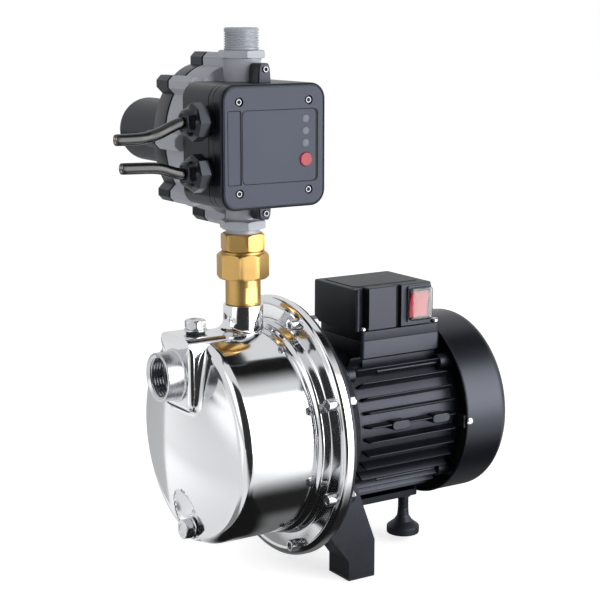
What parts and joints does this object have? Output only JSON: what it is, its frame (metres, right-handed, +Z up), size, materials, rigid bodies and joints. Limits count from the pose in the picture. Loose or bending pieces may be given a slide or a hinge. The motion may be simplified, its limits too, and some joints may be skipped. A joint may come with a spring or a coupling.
{
  "type": "booster pump",
  "caption": "Stainless jet booster pump with finned electric motor, brass union and a pressure controller on its outlet.",
  "frame": {"origin": "on the floor, midway between the two bolt holes of the front bracket's feet", "axes": "+X along the shaft from the suction port to the fan cover; -Y is the side that the controller's panel and the motor's rocker switch face; +Z up"},
  "size_m": [0.3248, 0.2675, 0.4281],
  "materials": {
    "black_rubber": "matte",
    "board_green": "satin",
    "bracket_iron": "painted, textured",
    "capacitor_can": "satin",
    "ceramic_seat": "smooth",
    "clear_boot": "clear",
    "controller_black": "satin",
    "controller_grey": "satin",
    "copper_winding": "varnished",
    "cover_plastic": "satin",
    "cowl_black": "semi-gloss",
    "cream_plastic": "matte",
    "fan_plastic": "matte",
    "foot_rubber": "matte",
    "impeller_brass": "cast",
    "inner_plastic": "matte",
    "lamination_steel": "satin",
    "lamp_grey": "gloss",
    "lead_black": "satin",
    "motor_black": "painted black",
    "nozzle_brass": "turned",
    "panel_slate": "satin",
    "reset_red": "gloss",
    "rocker_red": "gloss",
    "seal_carbon": "matte",
    "shaft_steel": "ground",
    "stainless_polished": "polished",
    "stainless_turned": "satin",
    "steel_zinc": "satin",
    "switch_black": "satin",
    "union_brass": "blasted",
    "white_plastic": "matte"
  },
  "bodies": {
    "base": {"pump_casing": "stainless_polished", "suction_socket": "stainless_turned", "discharge_riser": "stainless_polished", "priming_plug": "steel_zinc", "priming_seal": "black_rubber", "drain_plug": "steel_zinc", "drain_seal": "black_rubber", "casing_gasket": "black_rubber", "flange_bolts": "steel_zinc", "flange_nuts": "steel_zinc", "bracket": "bracket_iron", "seal_seat": "ceramic_seat", "diffuser": "inner_plastic", "ejector": "inner_plastic", "nozzle": "nozzle_brass", "stator": "lamination_steel", "windings": "copper_winding", "bearing_front": "shaft_steel", "bearing_rear": "shaft_steel", "motor_housing": "motor_black", "end_shield": "motor_black", "shield_screws": "steel_zinc", "fan_cover": "cowl_black", "fan_screws": "steel_zinc", "terminal_cover": "cover_plastic", "terminal_screws": "steel_zinc", "terminal_block": "cream_plastic", "capacitor": "capacitor_can", "switch_frame": "switch_black", "splash_boot": "clear_boot", "union_tail": "union_brass", "union_seal": "black_rubber", "union_head": "union_brass", "flow_body": "controller_grey", "diaphragm": "black_rubber", "dome_cover": "controller_black", "cover_screws": "steel_zinc", "control_box": "controller_black", "front_frame": "controller_black", "circuit_board": "board_green", "panel_plate": "panel_slate", "panel_screws": "steel_zinc", "status_lamps": "lamp_grey", "ear_screws": "steel_zinc", "gland_nuts": "controller_black", "gland_seals": "black_rubber", "lead_upper": "lead_black", "lead_lower": "lead_black"},
    "spindle": {"shaft": "shaft_steel", "rotor": "lamination_steel", "impeller": "impeller_brass", "impeller_nut": "steel_zinc", "seal_head": "seal_carbon", "fan": "fan_plastic"},
    "rocker": {"switch_rocker": "rocker_red"},
    "button": {"reset_button": "reset_red"},
    "poppet": {"check_poppet": "white_plastic"},
    "leveller": {"levelling_foot": "foot_rubber"},
    "coupling_nut": {"union_nut": "union_brass"}
  },
  "joints": [
    {"name": "shaft_spin", "type": "hinge", "parent": "base", "child": "spindle", "pos_m": [0, 0, 0.118], "axis": [1, 0, 0], "continuous": true},
    {"name": "rocker_swing", "type": "hinge", "parent": "base", "child": "rocker", "pos_m": [0.0653, -0.0358, 0.2118], "axis": [1, 0, 0], "range_deg": [-16, 0]},
    {"name": "reset_press", "type": "slide", "parent": "base", "child": "button", "axis": [0, 1, 0], "range_m": [0, 0.0015], "stiffness_N_per_m": 600, "springref_m": -0.001},
    {"name": "check_lift", "type": "slide", "parent": "base", "child": "poppet", "axis": [0, 0, 1], "range_m": [0, 0.006]},
    {"name": "leveller_screw", "type": "slide", "parent": "base", "child": "leveller", "axis": [0, 0, 1], "range_m": [-0.0055, 0.0005]},
    {"name": "union_turn", "type": "hinge", "parent": "base", "child": "coupling_nut", "pos_m": [-0.072, 0, 0.249], "axis": [0, 0, 1], "continuous": true}
  ]
}
